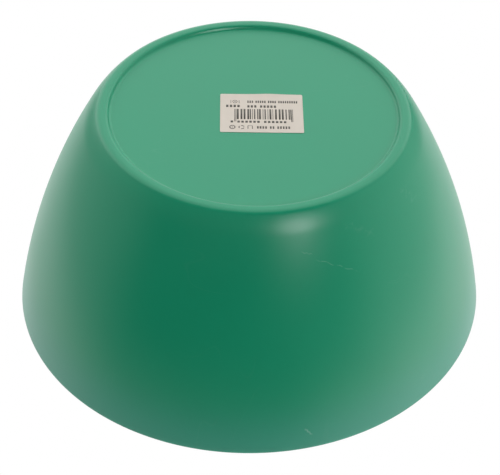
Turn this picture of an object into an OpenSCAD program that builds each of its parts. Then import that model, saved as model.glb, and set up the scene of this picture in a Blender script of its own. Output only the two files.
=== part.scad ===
// Plastic mixing bowl: one moulding on a low foot ring, and a paper label stuck to its underside.
// Millimetres. The bowl stands upright on z = 0, opening up, turned about the Z axis.
// Its section is one chain of tangent arcs, so every round stays true when a size changes.

/* [Bowl] */
// Outside diameter across the rim
rim_d = 250; // [180:1:400]
// Height from the resting plane to the top of the rim
height = 119.8; // [90:0.1:220]
// Thickness of the wall, which the rim rounds over in full
wall = 2.2; // [1.5:0.1:4]
// Thickness of the base
base = 2.5; // [1.5:0.1:6]
// Radius of the long curve of the outer wall
wall_curve_r = 340; // [250:1:900]
// Radius of the outer shoulder, where the wall turns in towards the foot ring
shoulder_r = 44; // [15:1:60]
// Slope of the shoulder where it reaches the foot ring, 0 is upright and 90 is flat
shoulder_slope = 43.5; // [35:0.5:70]
// Radius of the inside corner between the wall and the floor
floor_corner_r = 20; // [10:1:30]

/* [Foot ring] */
// Diameter of the middle of the flat that the bowl rests on
foot_d = 152.5; // [120:0.1:180]
// Width of that flat
foot_flat_w = 1.4; // [0.6:0.1:4]
// Radius from the flat out to the shoulder
foot_outer_r = 4.3; // [1:0.1:6]
// Radius from the flat in to the recess
foot_inner_r = 2.3; // [0.3:0.1:3]
// How far the underside lies above the flat
recess_depth = 2.4; // [2:0.1:5]
// Fillet between the foot ring and the underside
recess_fillet_r = 2.1; // [0.3:0.1:3]
// Slope of the recess's wall in degrees
recess_slope = 62; // [45:1:85]

/* [Label] */
// Length of the label
label_length = 42; // [20:0.5:60]
// Width of the label
label_width = 31.5; // [15:0.5:45]
// Thickness of the paper with its adhesive
label_thickness = 0.15; // [0.1:0.05:0.5]
// Radius of the label's corners
label_corner_r = 0.8; // [0.2:0.1:3]
// Label's centre to the left of the axis, seen from the front
label_left = 3.9; // [-12:0.1:12]
// Label's centre in front of the axis
label_forward = 0.2; // [-12:0.1:12]
// Turn of the label on the underside
label_turn = -1.7; // [-180:0.1:180]
// Gap between the label and the underside, 0 where it is stuck down flat
label_gap = 0; // [0:0.05:0.3]

/* [Hidden] */
$fn = 160;

// Point at a distance from p, at angle a from the +X direction
function polar_from(p, distance, a) = p + distance * [cos(a), sin(a)];
// Angle of the direction from p to q
function bearing(p, q) = atan2(q[1] - p[1], q[0] - p[0]);
// Points along an arc about c, from angle a to angle b in equal steps
function arc(c, r, a, b, steps) = [for (i = [0:steps]) polar_from(c, r, a + (b - a) * i / steps)];
// Where circles about p and q meet, on the right-hand side of the way from p to q
function circles_meet(p, rp, q, rq) =
    let (d = norm(q - p),
         along = (rp * rp - rq * rq + d * d) / (2 * d),
         aside = sqrt(rp * rp - along * along),
         u = (q - p) / d)
    p + along * u + aside * [u[1], -u[0]];

// Outside, from the foot ring up: foot, shoulder and wall arcs touch inside one another
foot_outer_c = [foot_d / 2 + foot_flat_w / 2, foot_outer_r];
shoulder_c = polar_from(foot_outer_c, shoulder_r - foot_outer_r, 180 - shoulder_slope);
rim_c = [rim_d / 2 - wall / 2, height - wall / 2];
wall_c = circles_meet(rim_c, wall_curve_r - wall / 2, shoulder_c, wall_curve_r - shoulder_r);
wall_from_a = bearing(wall_c, shoulder_c);
rim_a = bearing(wall_c, rim_c);

// Inside: the wall's inner curve runs into the floor through one corner arc
floor_z = recess_depth + base;
inner_wall_r = wall_curve_r - wall;
corner_z = floor_z + floor_corner_r;
corner_x = wall_c[0] + sqrt(pow(inner_wall_r - floor_corner_r, 2) - pow(wall_c[1] - corner_z, 2));
corner_c = [corner_x, corner_z];
corner_a = bearing(wall_c, corner_c);

// Underside: a fillet, a sloped wall and a round lead down to the flat, as far as the wall has room
rounds_room = 0.99 * recess_depth / (1 - cos(recess_slope));
inner_r = min(foot_inner_r, 0.9 * rounds_room);
fillet_r = min(recess_fillet_r, rounds_room - inner_r);
recess_wall_z = recess_depth - (inner_r + fillet_r) * (1 - cos(recess_slope));
recess_inset = (inner_r + fillet_r) * sin(recess_slope) + recess_wall_z / tan(recess_slope);
foot_inner_c = [foot_d / 2 - foot_flat_w / 2, inner_r];
recess_c = [foot_inner_c[0] - recess_inset, recess_depth - fillet_r];

section = concat(
    [[0, recess_depth]],
    arc(recess_c, fillet_r, 90, 90 - recess_slope, 6),
    arc(foot_inner_c, inner_r, 270 - recess_slope, 270, 6),
    arc(foot_outer_c, foot_outer_r, -90, -shoulder_slope, 6),
    arc(shoulder_c, shoulder_r, -shoulder_slope, wall_from_a, 8),
    arc(wall_c, wall_curve_r, wall_from_a, rim_a, 16),
    arc(rim_c, wall / 2, rim_a, rim_a + 180, 10),
    arc(wall_c, inner_wall_r, rim_a, corner_a, 16),
    arc(corner_c, floor_corner_r, corner_a, -90, 16),
    [[0, floor_z]]
);

// Wall, base, foot ring and rounded rim, moulded in one piece
module bowl() {
    color([0.34, 0.65, 0.52])
    rotate_extrude()
    polygon(section);
}

// Self-adhesive paper label, stuck to the underside inside the foot ring
module label() {
    color([0.86, 0.82, 0.76])
    translate([-label_left, -label_forward, recess_depth - label_gap - label_thickness])
    rotate([0, 0, label_turn])
    linear_extrude(height = label_thickness)
    union() {
        square([label_length - 2 * label_corner_r, label_width], center = true);
        square([label_length, label_width - 2 * label_corner_r], center = true);
        for (x = [-1, 1], y = [-1, 1])
            translate([x * (label_length / 2 - label_corner_r), y * (label_width / 2 - label_corner_r)])
                circle(r = label_corner_r);
    }
}

bowl();
label();
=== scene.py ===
"""Looks of a moulded plastic mixing bowl: the bowl, the paper label on its underside and the label's print.

It is laid out as an add-on and run as a script. Lengths are metres in the part's own frame: the bowl
stands upright on z = 0 with its opening up, and its front is on the -Y side.
"""

import bpy
import numpy as np
from bpy.props import FloatProperty, FloatVectorProperty, IntProperty, PointerProperty
from mathutils import Matrix, Vector


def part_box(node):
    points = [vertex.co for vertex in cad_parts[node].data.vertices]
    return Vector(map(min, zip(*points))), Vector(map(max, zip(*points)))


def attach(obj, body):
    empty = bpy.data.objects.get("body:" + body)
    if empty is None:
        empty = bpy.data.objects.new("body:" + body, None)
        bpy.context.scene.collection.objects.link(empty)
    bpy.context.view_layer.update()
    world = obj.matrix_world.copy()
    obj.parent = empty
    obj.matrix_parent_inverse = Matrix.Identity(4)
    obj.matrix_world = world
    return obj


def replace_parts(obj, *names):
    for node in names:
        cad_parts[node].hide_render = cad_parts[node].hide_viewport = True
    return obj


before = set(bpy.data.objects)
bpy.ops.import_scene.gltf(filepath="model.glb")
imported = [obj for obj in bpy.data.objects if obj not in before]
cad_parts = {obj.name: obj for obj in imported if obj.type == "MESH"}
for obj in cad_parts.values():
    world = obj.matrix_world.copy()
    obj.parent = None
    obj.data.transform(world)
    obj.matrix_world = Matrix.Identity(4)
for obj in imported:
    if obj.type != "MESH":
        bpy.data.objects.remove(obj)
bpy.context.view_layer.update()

bl_info = {
    "name": "Mixing Bowl",
    "version": (1, 0, 0),
    "blender": (4, 5, 0),
    "location": "3D View > Sidebar > Mixing Bowl",
    "description": "Builds a moulded plastic mixing bowl with a paper label underneath, and its stage",
    "category": "Object",
}

MM = 0.001
BOWL_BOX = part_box("bowl")
LABEL_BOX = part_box("label")
RIM_D = BOWL_BOX[1].x - BOWL_BOX[0].x
HEIGHT = BOWL_BOX[1].z
UNDERSIDE = LABEL_BOX[1].z
PAPER = LABEL_BOX[1].z - LABEL_BOX[0].z
LABEL_MIDDLE = (LABEL_BOX[0] + LABEL_BOX[1]) / 2
BAR_MODULES = 95

# Soft light that fills a wide direction: its name, its azimuth from the front (-Y) towards +X and its
# elevation, the half angle of its even core and the half angle at which it is gone, all in degrees, and
# its strength.
SOFT_LIGHTS = (
    ("rear panel", 171, -40, 51, 55, 1.51),
    ("left panel", 102, -10, 0, 52, 0.69),
    ("right panel", -101, -13, 0, 57, 0.98),
    ("lamp", -31, -27, 8, 11.5, 10.5),
    ("front fill", 27, -36, 6, 36, 0.29),
    ("pale table", 180, 85, 68, 72, 1.12),
    ("table edge", -62, 37, 9, 36, 0.57),
)


# ---------------------------------------------------------------- settings


class BowlSettings(bpy.types.PropertyGroup):
    """Sizes and colour of the moulded bowl."""

    wall: FloatProperty(name="Wall", description="Thickness of the wall",
                        default=2.2 * MM, unit="LENGTH", precision=5)
    base: FloatProperty(name="Base", description="Thickness of the base",
                        default=2.5 * MM, unit="LENGTH", precision=5)
    wall_curve_r: FloatProperty(name="Wall curve", description="Radius of the outer wall's long curve",
                                default=340 * MM, unit="LENGTH")
    shoulder_r: FloatProperty(name="Shoulder", description="Radius of the outer shoulder above the foot ring",
                              default=44 * MM, unit="LENGTH")
    shoulder_slope: FloatProperty(name="Shoulder slope", description="Slope of the shoulder at the foot ring",
                                  default=np.radians(43.5), subtype="ANGLE")
    floor_corner_r: FloatProperty(name="Floor corner", description="Radius of the inside corner at the floor",
                                  default=20 * MM, unit="LENGTH")
    foot_d: FloatProperty(name="Foot ring", description="Diameter of the middle of the foot ring's flat",
                          default=152.5 * MM, unit="LENGTH")
    foot_flat_w: FloatProperty(name="Foot flat", description="Width of the foot ring's flat",
                               default=1.4 * MM, unit="LENGTH", precision=5)
    foot_outer_r: FloatProperty(name="Foot outer round", description="Radius from the flat to the shoulder",
                                default=4.3 * MM, unit="LENGTH", precision=5)
    foot_inner_r: FloatProperty(name="Foot inner round", description="Radius from the flat to the recess",
                                default=2.3 * MM, unit="LENGTH", precision=5)
    recess_slope: FloatProperty(name="Recess slope", description="Slope of the recess's wall",
                                default=np.radians(62), subtype="ANGLE")
    recess_fillet_r: FloatProperty(name="Recess fillet", description="Fillet between foot ring and underside",
                                   default=2.1 * MM, unit="LENGTH", precision=5)
    rim_oval: FloatProperty(name="Out of round", description="How far the rim has sprung out of round, "
                            "as a share of its radius", default=0.0117, precision=4)
    rim_drift: FloatProperty(name="Rim drift", description="How far the rim's centre has drifted sideways "
                             "from the foot's", default=-0.8 * MM, unit="LENGTH", precision=5)
    colour: FloatVectorProperty(name="Plastic", description="Colour of the plastic", subtype="COLOR",
                                size=3, default=(0.003, 0.295, 0.150), min=0, max=1)
    scuff: FloatVectorProperty(name="Scuffs", description="Colour of the plastic where it is scuffed",
                               subtype="COLOR", size=3, default=(0.22, 0.46, 0.36), min=0, max=1)
    # Painted reflection: a bluish tint painted into the plastic's colour towards the rim, standing in for the
    # pale table's light reflected off the wall there.
    painted_rim_reflection: FloatVectorProperty(name="Painted reflection", description="Bluish tinge of the plastic towards the rim",
                               subtype="COLOR", size=3, default=(0.03, 0.295, 0.29), min=0, max=1)
    painted_reflection_width: FloatProperty(name="Bloom width", description="How far down from the rim the tinge reaches",
                               default=36 * MM, unit="LENGTH")
    roughness: FloatProperty(name="Roughness", description="Roughness of the satin moulding",
                             default=0.33, min=0, max=1)
    grain: FloatProperty(name="Grain", description="Size of the mould's fine texture",
                         default=0.3 * MM, unit="LENGTH", precision=5)


class LabelSettings(bpy.types.PropertyGroup):
    """Sizes and colours of the paper label and its print."""

    length: FloatProperty(name="Length", description="Length of the label", default=42 * MM, unit="LENGTH")
    width: FloatProperty(name="Width", description="Width of the label", default=31.5 * MM, unit="LENGTH")
    corner_r: FloatProperty(name="Corners", description="Radius of the label's corners",
                            default=0.8 * MM, unit="LENGTH", precision=5)
    turn: FloatProperty(name="Turn", description="Turn of the label on the underside",
                        default=np.radians(-1.7), subtype="ANGLE")
    lift: FloatProperty(name="Lift", description="How far the label's back edge has come unstuck",
                        default=0.4 * MM, unit="LENGTH", precision=5)
    ink_depth: FloatProperty(name="Ink depth", description="Thickness of the print on the paper",
                             default=0.02 * MM, unit="LENGTH", precision=6)
    print_seed: IntProperty(name="Print pattern", description="Picks another made-up pattern of bars",
                            default=4, min=0)
    paper: FloatVectorProperty(name="Paper", description="Colour of the paper", subtype="COLOR",
                               size=3, default=(0.667, 0.607, 0.537), min=0, max=1)
    ink: FloatVectorProperty(name="Ink", description="Colour of the print", subtype="COLOR",
                             size=3, default=(0.075, 0.07, 0.055), min=0, max=1)


class StageSettings(bpy.types.PropertyGroup):
    """Camera, light and floor."""

    distance: FloatProperty(name="Distance", description="Camera's distance from the middle of the rim",
                            default=0.905, unit="LENGTH")
    depression: FloatProperty(name="Depression", description="How far below the horizon the camera stands",
                              default=np.radians(43.458), subtype="ANGLE")
    roll: FloatProperty(name="Roll", description="Roll of the camera about its line of sight",
                        default=np.radians(1.751), subtype="ANGLE")
    lens: FloatProperty(name="Lens", description="Focal length on a 36 mm sensor, in millimetres",
                        default=117.54)
    aim_x: FloatProperty(name="Aim across", description="Camera's aim to the side of the axis",
                         default=0.07 * MM, unit="LENGTH", precision=5)
    aim_drop: FloatProperty(name="Aim below rim", description="How far below the rim the camera aims",
                            default=32.6 * MM, unit="LENGTH", precision=5)
    light: FloatProperty(name="Light", description="Strength of all the light", default=1.0, min=0)
    floor: FloatProperty(name="Floor", description="How far the floor reaches from the middle",
                         default=6.0, unit="LENGTH")
    floor_tone: FloatProperty(name="Floor tone", description="How pale the floor is",
                              default=0.6, min=0, max=1)


# ---------------------------------------------------------------- outlines


def polar_from(point, distance, angle):
    """The point at a distance from another, at an angle from the +X direction."""
    return np.asarray(point) + distance * np.array([np.cos(angle), np.sin(angle)])


def bearing(start, end):
    """Angle of the direction from start to end."""
    return np.arctan2(end[1] - start[1], end[0] - start[0])


def arc(centre, radius, start, end, steps):
    """Points on an arc from angle start to angle end, in equal steps."""
    angles = np.linspace(start, end, steps + 1)
    return np.asarray(centre) + radius * np.stack([np.cos(angles), np.sin(angles)], 1)


def level(start, end, height, steps):
    """Points on a level line from radius start to radius end, in equal steps."""
    return np.stack([np.linspace(start, end, steps + 1), np.full(steps + 1, height)], 1)


def circles_meet(p, p_radius, q, q_radius):
    """Where two circles meet, on the right-hand side of the way from p to q."""
    away = np.asarray(q) - np.asarray(p)
    distance = np.linalg.norm(away)
    along = (p_radius**2 - q_radius**2 + distance**2) / (2 * distance)
    aside = np.sqrt(p_radius**2 - along**2)
    unit = away / distance
    return np.asarray(p) + along * unit + aside * np.array([unit[1], -unit[0]])


def bowl_section(s):
    """The bowl's half section as one chain of points (radius, height), from the underside's centre out
    over the foot ring, up the wall, round the rim and down the inside to the floor's centre.

    Every round is an arc that touches its neighbours: each pair of outer arcs lies one inside the other,
    so their centres are as far apart as their radii differ.
    """
    foot_outer = [s.foot_d / 2 + s.foot_flat_w / 2, s.foot_outer_r]
    shoulder = polar_from(foot_outer, s.shoulder_r - s.foot_outer_r, np.pi - s.shoulder_slope)
    rim = [RIM_D / 2 - s.wall / 2, HEIGHT - s.wall / 2]
    wall = circles_meet(rim, s.wall_curve_r - s.wall / 2, shoulder, s.wall_curve_r - s.shoulder_r)
    wall_start, rim_angle = bearing(wall, shoulder), bearing(wall, rim)
    inner_r = s.wall_curve_r - s.wall
    floor = UNDERSIDE + s.base
    corner_z = floor + s.floor_corner_r
    corner_x = wall[0] + np.sqrt((inner_r - s.floor_corner_r) ** 2 - (wall[1] - corner_z) ** 2)
    corner = [corner_x, corner_z]
    corner_angle = bearing(wall, corner)
    foot_inner = [s.foot_d / 2 - s.foot_flat_w / 2, s.foot_inner_r]
    quarter = np.pi / 2
    rounds = s.foot_inner_r + s.recess_fillet_r
    wall_rise = UNDERSIDE - rounds * (1 - np.cos(s.recess_slope))
    recess_x = foot_inner[0] - rounds * np.sin(s.recess_slope) - wall_rise / np.tan(s.recess_slope)
    recess = [recess_x, UNDERSIDE - s.recess_fillet_r]
    chain = [
        level(0, recess[0], UNDERSIDE, 20),
        arc(recess, s.recess_fillet_r, quarter, quarter - s.recess_slope, 10)[1:],
        arc(foot_inner, s.foot_inner_r, 3 * quarter - s.recess_slope, 3 * quarter, 10),
        arc(foot_outer, s.foot_outer_r, -quarter, -s.shoulder_slope, 10),
        arc(shoulder, s.shoulder_r, -s.shoulder_slope, wall_start, 14)[1:],
        arc(wall, s.wall_curve_r, wall_start, rim_angle, 48)[1:],
        arc(rim, s.wall / 2, rim_angle, rim_angle + np.pi, 16)[1:],
        arc(wall, inner_r, rim_angle, corner_angle, 48)[1:],
        arc(corner, s.floor_corner_r, corner_angle, -quarter, 20)[1:],
        level(corner[0], 0, floor, 20)[1:],
    ]
    return np.concatenate(chain)


# ---------------------------------------------------------------- meshes


def mesh_piece(name, points, faces):
    """A smooth mesh object at the origin from arrays of points and faces."""
    mesh = bpy.data.meshes.new(name)
    mesh.from_pydata(np.asarray(points, float).tolist(), [], faces)
    mesh.polygons.foreach_set("use_smooth", np.ones(len(mesh.polygons), bool))
    mesh.update()
    piece = bpy.data.objects.new(name, mesh)
    bpy.context.scene.collection.objects.link(piece)
    return piece


def turned_piece(name, section, around, bend):
    """Carries a section round the Z axis: x = r cos a, y = r sin a, then moves each point by bend.

    The first and last points of the section lie on the axis and become single points, so the shell is
    closed at both poles and round the seam.
    """
    angles = np.arange(around) * 2 * np.pi / around
    radius, height = section[1:-1, 0][:, None], section[1:-1, 1][:, None]
    x, y = radius * np.cos(angles), radius * np.sin(angles)
    grid = np.stack([x, y, np.broadcast_to(height, x.shape)], 2).reshape(-1, 3)
    poles = np.array([[0, 0, section[0, 1]], [0, 0, section[-1, 1]]])
    rows = len(section) - 2
    row, column = np.meshgrid(np.arange(rows - 1), np.arange(around), indexing="ij")
    after = (column + 1) % around
    quads = np.stack([row * around + column, row * around + after,
                      (row + 1) * around + after, (row + 1) * around + column], 2).reshape(-1, 4)
    first, last = np.arange(around), (rows - 1) * around + np.arange(around)
    start = np.stack([np.full(around, rows * around), np.roll(first, -1), first], 1)
    end = np.stack([np.full(around, rows * around + 1), last, np.roll(last, -1)], 1)
    faces = quads.tolist() + start.tolist() + end.tolist()
    return mesh_piece(name, bend(np.concatenate([grid, poles])), faces)


def sprung(s):
    """How a thin moulding has sprung. Towards the rim it goes out of round along the diagonals and drifts
    sideways, both in proportion to the height."""

    def bend(points):
        share = points[:, 2] / HEIGHT
        angle = np.arctan2(points[:, 1], points[:, 0])
        swell = 1 - s.rim_oval * share * np.sin(2 * angle)
        moved = points.copy()
        moved[:, 0] = points[:, 0] * swell + s.rim_drift * share
        moved[:, 1] = points[:, 1] * swell
        return moved

    return bend


def strip_faces(rows, columns, first=0, flipped=False):
    """Quads of a grid of rows by columns whose points are numbered row by row from first."""
    row, column = np.meshgrid(np.arange(rows - 1), np.arange(columns - 1), indexing="ij")
    corner = first + row * columns + column
    quads = np.stack([corner, corner + 1, corner + columns + 1, corner + columns], 2).reshape(-1, 4)
    return quads[:, ::-1] if flipped else quads


def grid_rim(rows, columns):
    """Numbers of a grid's edge points, in order round the grid."""
    number = np.arange(rows * columns).reshape(rows, columns)
    return np.concatenate([number[0, :-1], number[:-1, -1], number[-1, :0:-1], number[:0:-1, 0]])


def closed_sheet(lower, upper):
    """Points and faces of a closed sheet between two grids of the same shape, the upper on the +Z side."""
    rows, columns = lower.shape[:2]
    count = rows * columns
    rim = grid_rim(rows, columns)
    after = np.roll(rim, -1)
    side = np.stack([rim, after, after + count, rim + count], 1)
    points = np.concatenate([lower.reshape(-1, 3), upper.reshape(-1, 3)])
    bottom, top = strip_faces(rows, columns, flipped=True), strip_faces(rows, columns, count)
    return points, np.concatenate([bottom, top, side])


# ---------------------------------------------------------------- label


def label_place(s, along, across):
    """Points of the label's plane in the part's frame. Along runs from +X to -X and across from back to
    front, both from the label's middle, and then the label is turned on the underside."""
    x, y = -along, -across
    cosine, sine = np.cos(s.turn), np.sin(s.turn)
    return LABEL_MIDDLE.x + x * cosine - y * sine, LABEL_MIDDLE.y + x * sine + y * cosine


def label_lift(s, along, across):
    """Height of the paper's bulge off the underside: a bell along the back edge that dies out inwards, and
    shallow cockles all over that stay a tenth as high."""
    bulge = np.exp(-(((along - 4 * MM) / (8 * MM)) ** 2)) * np.exp(-(across + s.width / 2) / (3 * MM))
    cockles = 0.05 * (1 + np.sin(along / (5 * MM) + 1) * np.cos(across / (4 * MM)))
    return s.lift * (bulge + cockles * (1 - np.clip(bulge, 0, 1)))


def label_points(s, along, across, depth):
    """Points at a depth below the label's stuck face."""
    x, y = label_place(s, along, across)
    return np.stack([x, y, UNDERSIDE - label_lift(s, along, across) - depth], -1)


def side_steps(half, corner, steps):
    """Even steps from -half to half with finer ones over both corners."""
    bend = np.linspace(0, corner, 5)
    middle = np.linspace(corner - half, half - corner, steps + 1)
    return np.concatenate([bend - half, middle[1:-1], half - corner + bend])


def rounded_grid(s):
    """A grid over the label whose corner squares are pressed into quarter discs: with p and q running from
    0 to 1 across such a square, p becomes p * sqrt(1 - q * q / 2) and q becomes q * sqrt(1 - p * p / 2)."""
    along, across = np.meshgrid(side_steps(s.length / 2, s.corner_r, 42),
                                side_steps(s.width / 2, s.corner_r, 32))
    p = np.clip(np.abs(along) - (s.length / 2 - s.corner_r), 0, None) / s.corner_r
    q = np.clip(np.abs(across) - (s.width / 2 - s.corner_r), 0, None) / s.corner_r
    pressed_p, pressed_q = p * np.sqrt(1 - q * q / 2), q * np.sqrt(1 - p * p / 2)
    along = along + np.sign(along) * (pressed_p - p) * s.corner_r
    across = across + np.sign(across) * (pressed_q - q) * s.corner_r
    return along, across


def paper_piece(s):
    """The paper: a closed sheet between its stuck face and its printed face."""
    along, across = rounded_grid(s)
    stuck, printed = label_points(s, along, across, 0), label_points(s, along, across, PAPER)
    points, faces = closed_sheet(printed, stuck)
    return mesh_piece("label_paper", points, faces.tolist())


def stroke(path, width):
    """Both edges of a stroke: the path's points moved half a width to each side along its normals."""
    path = np.asarray(path, float)
    heading = np.gradient(path, axis=0)
    heading /= np.linalg.norm(heading, axis=1)[:, None]
    aside = np.stack([-heading[:, 1], heading[:, 0]], 1) * width / 2
    return np.stack([path - aside, path + aside])


def bar(left, top, wide, tall):
    """An upright bar as a stroke down its middle."""
    return stroke([[left + wide / 2, top], [left + wide / 2, top + tall]], wide)


def hoop(middle, radius, width, start=0.0, end=360.0):
    """A stroke round a circle, from one angle to another in degrees."""
    return stroke(arc(middle, radius, np.radians(start), np.radians(end), 24), width)


def bar_pattern(left, top, module, tall, guard, numbers):
    """A made-up row of bars and gaps, each one to three modules wide, between pairs of longer guard bars."""
    first_pair, last_pair = (0, 2), (BAR_MODULES - 3, BAR_MODULES - 1)
    strokes, place = [], 0
    while place < last_pair[0]:
        is_guard = place in first_pair
        wide = 1 if is_guard else int(numbers.integers(1, 4))
        strokes.append(bar(left + place * module, top, wide * module, guard if is_guard else tall))
        place += wide + (1 if is_guard else int(numbers.integers(1, 4)))
    strokes += [bar(left + place * module, top, module, guard) for place in last_pair]
    return strokes


def block_line(left, top, pitch, tall, words):
    """A line of plain blocks in groups, where a printed label has its words."""
    strokes, place = [], 0
    for word in words:
        for _ in range(word):
            strokes.append(bar(left + place * pitch, top, 0.62 * pitch, tall))
            place += 1
        place += 0.7
    return strokes


def label_strokes(s):
    """Everything on the label as strokes, in millimetres from its back corner on the +X side."""
    numbers = np.random.default_rng(s.print_seed)
    strokes = [hoop([7.5, 6.4], 1.1, 0.3), bar(7.2, 6.1, 0.6, 0.6)]
    strokes += [bar(left, 5.2, 0.25, 2.4) for left in (5.3, 9.5)]
    strokes += block_line(13.8, 5.4, 1.12, 1.9, (3, 5, 4, 9))
    strokes += block_line(3.0, 9.1, 1.9, 1.9, (4,))
    strokes += block_line(13.8, 9.3, 1.75, 1.9, (3, 5))
    strokes += bar_pattern(7.2, 12.5, 29.6 / BAR_MODULES, 8.4, 10.3, numbers)
    strokes += block_line(5.3, 22.1, 2.0, 1.6, (1, 6, 6))
    strokes += [hoop([6.2, 27.4], 1.3, 0.5), bar(5.9, 27.1, 0.6, 0.6)]
    strokes += [hoop([10.8, 27.4], 1.3, 0.5, start, start + 80) for start in (20, 140, 260)]
    strokes += [stroke([[14.0, 28.6], [14.0, 26.2], [16.2, 26.2], [16.2, 28.6]], 0.45)]
    strokes += block_line(18.5, 26.4, 1.38, 2.0, (4, 2, 5))
    return strokes


def print_piece(s):
    """The print: each stroke is a thin closed slab that follows the paper."""
    points, faces, first = [], [], 0
    for edges in label_strokes(s):
        along = edges[..., 0] * MM - s.length / 2
        across = edges[..., 1] * MM - s.width / 2
        outer = label_points(s, along, across, PAPER + s.ink_depth)
        inner = label_points(s, along, across, PAPER - s.ink_depth)
        slab, quads = closed_sheet(outer, inner)
        points.append(slab)
        faces.append(quads + first)
        first += len(slab)
    return mesh_piece("label_print", np.concatenate(points), np.concatenate(faces).tolist())


# ---------------------------------------------------------------- shader nodes


def node(tree, kind, inputs=None, **settings):
    """Adds a node. An input is a value, or the output of another node."""
    made = tree.nodes.new(kind)
    for name, value in settings.items():
        setattr(made, name, value)
    for name, value in (inputs or {}).items():
        if isinstance(value, bpy.types.NodeSocket):
            tree.links.new(value, made.inputs[name])
        else:
            made.inputs[name].default_value = value
    return made


def maths(tree, operation, first, second=0.0):
    """One sum of two numbers or outputs."""
    return node(tree, "ShaderNodeMath", {0: first, 1: second}, operation=operation).outputs[0]


def fade(tree, value, start, end, low=0.0, high=1.0):
    """A smooth change from low to high while a value goes from start to end."""
    inputs = {"Value": value, "From Min": start, "From Max": end, "To Min": low, "To Max": high}
    return node(tree, "ShaderNodeMapRange", inputs, interpolation_type="SMOOTHSTEP").outputs["Result"]


def dot(tree, first, second):
    """How far one vector runs along another."""
    made = node(tree, "ShaderNodeVectorMath", {0: first, 1: second}, operation="DOT_PRODUCT")
    return made.outputs["Value"]


def mixed_colour(tree, share, first, second):
    """A colour that goes from the first to the second as the share goes from 0 to 1."""
    made = node(tree, "ShaderNodeMix", data_type="RGBA")
    for socket, value in zip((made.inputs[0], made.inputs[6], made.inputs[7]), (share, first, second)):
        if isinstance(value, bpy.types.NodeSocket):
            tree.links.new(value, socket)
        else:
            socket.default_value = value
    return made.outputs[2]


def new_group(name, inputs, outputs):
    """An empty shader group with named sockets, and its input and output nodes."""
    group = bpy.data.node_groups.new(name, "ShaderNodeTree")
    for socket, kind in inputs.items():
        group.interface.new_socket(socket, in_out="INPUT", socket_type=kind)
    for socket, kind in outputs.items():
        group.interface.new_socket(socket, in_out="OUTPUT", socket_type=kind)
    return group, group.nodes.new("NodeGroupInput"), group.nodes.new("NodeGroupOutput")


def place_group(tree, group, inputs):
    """Places a group in a material with its own values."""
    return node(tree, "ShaderNodeGroup", inputs, node_tree=group).outputs


def shared_group(name, build):
    """The group of this name, built the first time that it is asked for."""
    return bpy.data.node_groups.get(name) or build(name)


def fine_grain(name):
    """Grain of a size in metres: noise with one step of finer noise on it."""
    group, given, result = new_group(name, {"Vector": "NodeSocketVector", "Size": "NodeSocketFloat"},
                                     {"Height": "NodeSocketFloat"})
    scale = maths(group, "DIVIDE", 1.0, given.outputs["Size"])
    noise = node(group, "ShaderNodeTexNoise",
                 {"Vector": given.outputs["Vector"], "Scale": scale, "Detail": 1.5})
    group.links.new(noise.outputs[0], result.inputs["Height"])
    return group


def tone_drift(name):
    """Slow change of tone: the colour times a noise that swings by an amount either side of one."""
    group, given, result = new_group(
        name, {"Colour": "NodeSocketColor", "Vector": "NodeSocketVector", "Size": "NodeSocketFloat",
               "Amount": "NodeSocketFloat"}, {"Colour": "NodeSocketColor", "Drift": "NodeSocketFloat"})
    scale = maths(group, "DIVIDE", 1.0, given.outputs["Size"])
    noise = node(group, "ShaderNodeTexNoise",
                 {"Vector": given.outputs["Vector"], "Scale": scale, "Detail": 3.0})
    swing = maths(group, "MULTIPLY", maths(group, "SUBTRACT", noise.outputs[0], 0.5), 2.0)
    factor = maths(group, "ADD", maths(group, "MULTIPLY", swing, given.outputs["Amount"]), 1.0)
    tinted = node(group, "ShaderNodeVectorMath", {0: given.outputs["Colour"], "Scale": factor},
                  operation="SCALE")
    group.links.new(tinted.outputs["Vector"], result.inputs["Colour"])
    group.links.new(swing, result.inputs["Drift"])
    return group


def surface_mark(name):
    """One mark at a place: a wavy line that fades at its sides and its ends, is broken up by noise, and
    keeps to the face of the wall that it is on."""
    vectors = {socket: "NodeSocketVector" for socket in ("Vector", "Centre", "Along", "Across")}
    sizes = {socket: "NodeSocketFloat" for socket in ("Length", "Width", "Wave")}
    group, given, result = new_group(name, {**vectors, **sizes}, {"Mask": "NodeSocketFloat"})
    given = given.outputs
    offset = node(group, "ShaderNodeVectorMath", {0: given["Vector"], 1: given["Centre"]},
                  operation="SUBTRACT")
    inward = node(group, "ShaderNodeVectorMath", {0: given["Along"], 1: given["Across"]},
                  operation="CROSS_PRODUCT").outputs["Vector"]
    along, across, depth = (dot(group, offset.outputs["Vector"], axis)
                            for axis in (given["Along"], given["Across"], inward))
    share = maths(group, "DIVIDE", along, given["Length"])
    swing = maths(group, "SINE", maths(group, "MULTIPLY", share, 22.0))
    ripple = maths(group, "MULTIPLY", swing, given["Wave"])
    aside = maths(group, "ABSOLUTE", maths(group, "SUBTRACT", across, ripple))
    sides = fade(group, maths(group, "DIVIDE", aside, given["Width"]), 0.0, 0.5, 1.0, 0.0)
    ends = fade(group, maths(group, "ABSOLUTE", share), 0.3, 0.5, 1.0, 0.0)
    face = fade(group, maths(group, "ABSOLUTE", depth), 1.3 * MM, 1.9 * MM, 1.0, 0.0)
    noise = node(group, "ShaderNodeTexNoise", {"Vector": given["Vector"], "Scale": 350.0}).outputs[0]
    mask = maths(group, "MULTIPLY", maths(group, "MULTIPLY", sides, ends), maths(
        group, "MULTIPLY", face, fade(group, noise, 0.38, 0.6)))
    group.links.new(mask, result.inputs["Mask"])
    return group


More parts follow.
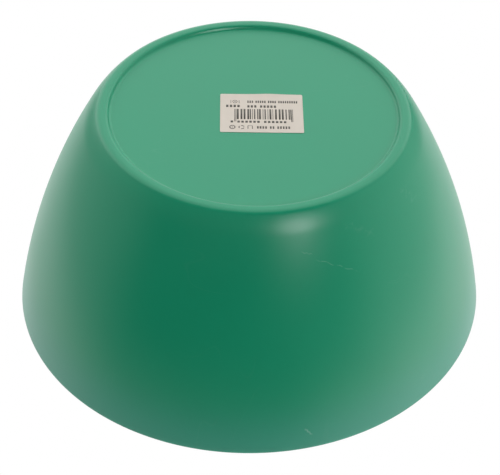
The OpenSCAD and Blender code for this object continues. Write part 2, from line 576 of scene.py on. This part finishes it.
def hairlines(name):
    """Fine handling scratches: thin level lines of two stretched noises, kept where a third noise is high."""
    group, given, result = new_group(name, {"Vector": "NodeSocketVector", "Spacing": "NodeSocketFloat"},
                                     {"Mask": "NodeSocketFloat"})
    scale = maths(group, "DIVIDE", 1.0, given.outputs["Spacing"])
    total = 0.0
    for turn, stretch in ((0.5, (1.0, 1.0, 0.12)), (2.1, (0.15, 1.0, 1.0))):
        place = node(group, "ShaderNodeMapping",
                     {"Vector": given.outputs["Vector"], "Rotation": (turn, turn, 0.0),
                      "Scale": stretch}).outputs["Vector"]
        noise = node(group, "ShaderNodeTexNoise", {"Vector": place, "Scale": scale, "Detail": 1.0}).outputs[0]
        away = maths(group, "ABSOLUTE", maths(group, "SUBTRACT", noise, 0.5))
        total = maths(group, "ADD", fade(group, away, 0.0, 0.006, 1.0, 0.0), total)
    patches = node(group, "ShaderNodeTexNoise", {"Vector": given.outputs["Vector"], "Scale": 28.0}).outputs[0]
    mask = maths(group, "MULTIPLY", total, fade(group, patches, 0.5, 0.75))
    group.links.new(mask, result.inputs["Mask"])
    return group


def new_material(name):
    """A material with nodes, its tree, its shader and object coordinates."""
    material = bpy.data.materials.new(name)
    material.use_nodes = True
    tree = material.node_tree
    return material, tree, tree.nodes["Principled BSDF"], node(tree, "ShaderNodeTexCoord").outputs["Object"]


def on_wall(s, angle, height):
    """A point of the outer wall, at an angle in degrees from the front towards +X and at a height, with
    the directions round the wall and up it."""
    section = bowl_section(s)
    outer = section[np.argmin(section[:, 1]):np.argmax(section[:, 1]) + 1]
    radius = np.interp(height, outer[:, 1], outer[:, 0])
    slope = (np.interp(height + MM, outer[:, 1], outer[:, 0]) - radius) / MM
    angle = np.radians(angle)
    out = np.array([np.sin(angle), -np.cos(angle), 0])
    point = out * radius + np.array([0, 0, height])
    around = np.array([np.cos(angle), np.sin(angle), 0])
    up = (out * slope + np.array([0, 0, 1])) / np.hypot(slope, 1)
    return point, around, up


def wall_mark(tree, place, s, angle, height, tilt, length, width, wave):
    """The mask of one mark on the outer wall. The tilt is in degrees from level, and the sizes in mm."""
    point, around, up = on_wall(s, angle, height * MM)
    tilt = np.radians(tilt)
    along = np.cos(tilt) * around + np.sin(tilt) * up
    across = np.cos(tilt) * up - np.sin(tilt) * around
    return place_group(tree, shared_group("Surface Mark", surface_mark), {
        "Vector": place, "Centre": point, "Along": along, "Across": across,
        "Length": length * MM, "Width": width * MM, "Wave": wave * MM})["Mask"]


# Marks on the outer wall: angle from the front towards +X and height, tilt from level, length, width and
# wave, in degrees and millimetres, and strength. The first three are scratches, the rest soft scuffs.
WALL_MARKS = (
    (-26, 26.5, -30, 27, 0.8, 0.35, 0.35),
    (-15.2, 109, -50, 7, 1.4, 0.2, 0.6),
    (-17, 18, -20, 8, 0.8, 0.2, 0.3),
    (-36, 15, -35, 22, 4.5, 1.0, 0.1),
    (-60, 15, -60, 17, 4.0, 2.0, 0.1),
)


def plastic_material(s):
    """Satin plastic from a polished mould: even colour with a painted bluish reflection towards the rim, fine
    grain, a soft gloss and a little wear.
    """
    material, tree, shader, place = new_material("satin green plastic")
    grain = place_group(tree, shared_group("Fine Grain", fine_grain), {"Vector": place, "Size": s.grain})
    tone = place_group(tree, shared_group("Tone Drift", tone_drift),
                       {"Colour": (*s.colour, 1), "Vector": place, "Size": 45 * MM, "Amount": 0.03})
    lines = place_group(tree, shared_group("Hairlines", hairlines), {"Vector": place, "Spacing": 25 * MM})
    worn = maths(tree, "MULTIPLY", lines["Mask"], 0.04)
    for *mark, strength in WALL_MARKS:
        shown = maths(tree, "MULTIPLY", wall_mark(tree, place, s, *mark), strength)
        worn = maths(tree, "MAXIMUM", worn, shown)
    height = node(tree, "ShaderNodeSeparateXYZ", {"Vector": place}).outputs["Z"]
    # Painted reflection: over the top of the wall the colour is mixed towards a bluish tint that stands in
    # for the table's light reflected there.
    painted_rim_reflection = fade(tree, height, HEIGHT - s.painted_reflection_width, HEIGHT, 0.0, 0.26)
    with_painted_reflection = mixed_colour(tree, painted_rim_reflection, tone["Colour"], (*s.painted_rim_reflection, 1))
    scuffed = mixed_colour(tree, worn, with_painted_reflection, (*s.scuff, 1))
    tree.links.new(scuffed, shader.inputs["Base Color"])
    gloss = maths(tree, "ADD", maths(tree, "MULTIPLY", tone["Drift"], 0.04), s.roughness)
    dulled = maths(tree, "ADD", gloss, maths(tree, "MULTIPLY", worn, 0.2))
    tree.links.new(dulled, shader.inputs["Roughness"])
    relief = maths(tree, "SUBTRACT", grain["Height"], worn)
    bump = node(tree, "ShaderNodeBump", {"Height": relief, "Strength": 0.15, "Distance": 0.02 * MM})
    tree.links.new(bump.outputs["Normal"], shader.inputs["Normal"])
    return material


def paper_material(s):
    """Uncoated label paper: matt, with faint fibres and a slightly uneven tone."""
    material, tree, shader, place = new_material("label paper")
    fibre = place_group(tree, shared_group("Fine Grain", fine_grain), {"Vector": place, "Size": 0.2 * MM})
    tone = place_group(tree, shared_group("Tone Drift", tone_drift),
                       {"Colour": (*s.paper, 1), "Vector": place, "Size": 6 * MM, "Amount": 0.05})
    tree.links.new(tone["Colour"], shader.inputs["Base Color"])
    shader.inputs["Roughness"].default_value = 0.8
    shader.inputs["Specular IOR Level"].default_value = 0.3
    bump = node(tree, "ShaderNodeBump", {"Height": fibre["Height"], "Strength": 0.3, "Distance": 0.02 * MM})
    tree.links.new(bump.outputs["Normal"], shader.inputs["Normal"])
    return material


def ink_material(s):
    """Thermal print: dark grey, slightly uneven."""
    material, tree, shader, place = new_material("label ink")
    tone = place_group(tree, shared_group("Tone Drift", tone_drift),
                       {"Colour": (*s.ink, 1), "Vector": place, "Size": 1.5 * MM, "Amount": 0.4})
    tree.links.new(tone["Colour"], shader.inputs["Base Color"])
    shader.inputs["Roughness"].default_value = 0.6
    return material


# ---------------------------------------------------------------- operators


def finish_piece(piece, material):
    """Gives a piece its material and its body."""
    piece.data.materials.append(material)
    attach(piece, "root")
    return piece


class MIXINGBOWL_OT_bowl(bpy.types.Operator):
    """Turns the bowl's section into the moulded bowl"""

    bl_idname = "mixing_bowl.bowl"
    bl_label = "Bowl"

    def execute(self, context):
        s = context.scene.mixing_bowl_bowl
        piece = turned_piece("moulded_bowl", bowl_section(s), 256, sprung(s))
        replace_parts(finish_piece(piece, plastic_material(s)), "bowl")
        return {"FINISHED"}


class MIXINGBOWL_OT_label(bpy.types.Operator):
    """Lays the paper label on the underside and prints it"""

    bl_idname = "mixing_bowl.label"
    bl_label = "Label"

    def execute(self, context):
        s = context.scene.mixing_bowl_label
        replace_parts(finish_piece(paper_piece(s), paper_material(s)), "label")
        finish_piece(print_piece(s), ink_material(s))
        return {"FINISHED"}


class MIXINGBOWL_OT_stage(bpy.types.Operator):
    """Sets up the floor, the light and the camera"""

    bl_idname = "mixing_bowl.stage"
    bl_label = "Stage"

    def execute(self, context):
        s = context.scene.mixing_bowl_stage
        add_camera(context.scene, s)
        context.scene.world = studio_world(s)
        context.scene.view_settings.view_transform = "Standard"
        add_floor(s)
        return {"FINISHED"}


def add_camera(scene, s):
    """The camera looks up at the bowl's underside from in front, with the bowl's opening at the bottom
    of its picture, so it is turned over like the bowl that it shows."""
    drift = scene.mixing_bowl_bowl.rim_drift
    place = Vector((drift, -s.distance * np.cos(s.depression), HEIGHT - s.distance * np.sin(s.depression)))
    aim = Vector((s.aim_x, 0, HEIGHT - s.aim_drop))
    forward = (aim - place).normalized()
    right = forward.cross(Vector((0, 0, -1))).normalized()
    up = right.cross(forward)
    cosine, sine = np.cos(s.roll), np.sin(s.roll)
    rolled_right, rolled_up = cosine * right + sine * up, cosine * up - sine * right
    data = bpy.data.cameras.new("camera")
    data.sensor_width, data.lens = 36, s.lens
    data.clip_start, data.clip_end = 0.01, 50
    camera = bpy.data.objects.new("camera", data)
    turn = Matrix((rolled_right, rolled_up, -forward)).transposed()
    camera.matrix_world = Matrix.Translation(place) @ turn.to_4x4()
    scene.collection.objects.link(camera)
    scene.camera = camera


def compass(azimuth, elevation):
    """Unit vector at an azimuth from the front (-Y) towards +X and an elevation, in degrees."""
    azimuth, elevation = np.radians(azimuth), np.radians(elevation)
    return (np.sin(azimuth) * np.cos(elevation), -np.cos(azimuth) * np.cos(elevation), np.sin(elevation))


def studio_world(s):
    """Soft light from all of SOFT_LIGHTS added up, and plain white where the camera looks past the bowl."""
    world = bpy.data.worlds.new("studio")
    world.use_nodes = True
    tree = world.node_tree
    tree.nodes.clear()
    direction = node(tree, "ShaderNodeTexCoord").outputs["Generated"]
    total = 0.0
    for name, azimuth, elevation, core, edge, strength in SOFT_LIGHTS:
        facing = dot(tree, direction, compass(azimuth, elevation))
        glow = fade(tree, facing, np.cos(np.radians(edge)), np.cos(np.radians(core)), 0.0, strength * s.light)
        glow.node.label = name
        total = maths(tree, "ADD", glow, total)
    light = node(tree, "ShaderNodeBackground", {"Strength": total})
    white = node(tree, "ShaderNodeBackground", {"Color": (1, 1, 1, 1), "Strength": 1.0})
    light.inputs["Color"].default_value = (1, 1, 1, 1)
    seen = node(tree, "ShaderNodeLightPath").outputs["Is Camera Ray"]
    mix = node(tree, "ShaderNodeMixShader", {0: seen, 1: light.outputs[0], 2: white.outputs[0]})
    node(tree, "ShaderNodeOutputWorld", {"Surface": mix.outputs[0]})
    return world


def add_floor(s):
    """A wide floor just under the foot ring. It takes shadows, but no light bounces off it or is stopped by
    it, and it is clear from below, so that the underside stays lit and in view."""
    reach, level_z = s.floor, -0.2 * MM
    corners = [(x * reach, y * reach, level_z) for x, y in ((-1, -1), (1, -1), (1, 1), (-1, 1))]
    floor = mesh_piece("floor", corners, [(0, 1, 2, 3)])
    floor.data.materials.append(floor_material(s))
    floor.visible_diffuse = floor.visible_glossy = floor.visible_transmission = floor.visible_shadow = False


def floor_material(s):
    """Pale and matt near the bowl, plain white far away, and clear from below."""
    material, tree, shader, place = new_material("pale floor")
    shader.inputs["Base Color"].default_value = (s.floor_tone, s.floor_tone, s.floor_tone, 1)
    shader.inputs["Roughness"].default_value = 0.9
    away = node(tree, "ShaderNodeVectorMath", {0: place}, operation="LENGTH").outputs["Value"]
    white = node(tree, "ShaderNodeEmission", {"Color": (1, 1, 1, 1)}).outputs[0]
    top = node(tree, "ShaderNodeMixShader", {0: fade(tree, away, 0.25, 1.2), 1: shader.outputs[0], 2: white})
    below = node(tree, "ShaderNodeNewGeometry").outputs["Backfacing"]
    clear = node(tree, "ShaderNodeBsdfTransparent").outputs[0]
    both = node(tree, "ShaderNodeMixShader", {0: below, 1: top.outputs[0], 2: clear})
    tree.links.new(both.outputs[0], tree.nodes["Material Output"].inputs["Surface"])
    return material


# ---------------------------------------------------------------- add-on


class MIXINGBOWL_PT_panel(bpy.types.Panel):
    """Lists the pieces of the mixing bowl and what can be changed on each"""

    bl_idname = "MIXINGBOWL_PT_panel"
    bl_label = "Mixing Bowl"
    bl_space_type = "VIEW_3D"
    bl_region_type = "UI"
    bl_category = "Mixing Bowl"

    def draw(self, context):
        scene = context.scene
        for operator, settings in ((MIXINGBOWL_OT_bowl, scene.mixing_bowl_bowl),
                                   (MIXINGBOWL_OT_label, scene.mixing_bowl_label),
                                   (MIXINGBOWL_OT_stage, scene.mixing_bowl_stage)):
            box = self.layout.box()
            box.operator(operator.bl_idname)
            for name in settings.__annotations__:
                box.prop(settings, name)


SETTINGS = {
    "mixing_bowl_bowl": BowlSettings,
    "mixing_bowl_label": LabelSettings,
    "mixing_bowl_stage": StageSettings,
}
CLASSES = (*SETTINGS.values(), MIXINGBOWL_OT_bowl, MIXINGBOWL_OT_label, MIXINGBOWL_OT_stage,
           MIXINGBOWL_PT_panel)


def register():
    for cls in CLASSES:
        bpy.utils.register_class(cls)
    for name, settings in SETTINGS.items():
        setattr(bpy.types.Scene, name, PointerProperty(type=settings))


def unregister():
    for name in SETTINGS:
        delattr(bpy.types.Scene, name)
    for cls in reversed(CLASSES):
        bpy.utils.unregister_class(cls)


def main():
    register()
    bpy.ops.mixing_bowl.bowl()
    bpy.ops.mixing_bowl.label()
    bpy.ops.mixing_bowl.stage()


if __name__ == "__main__":
    main()
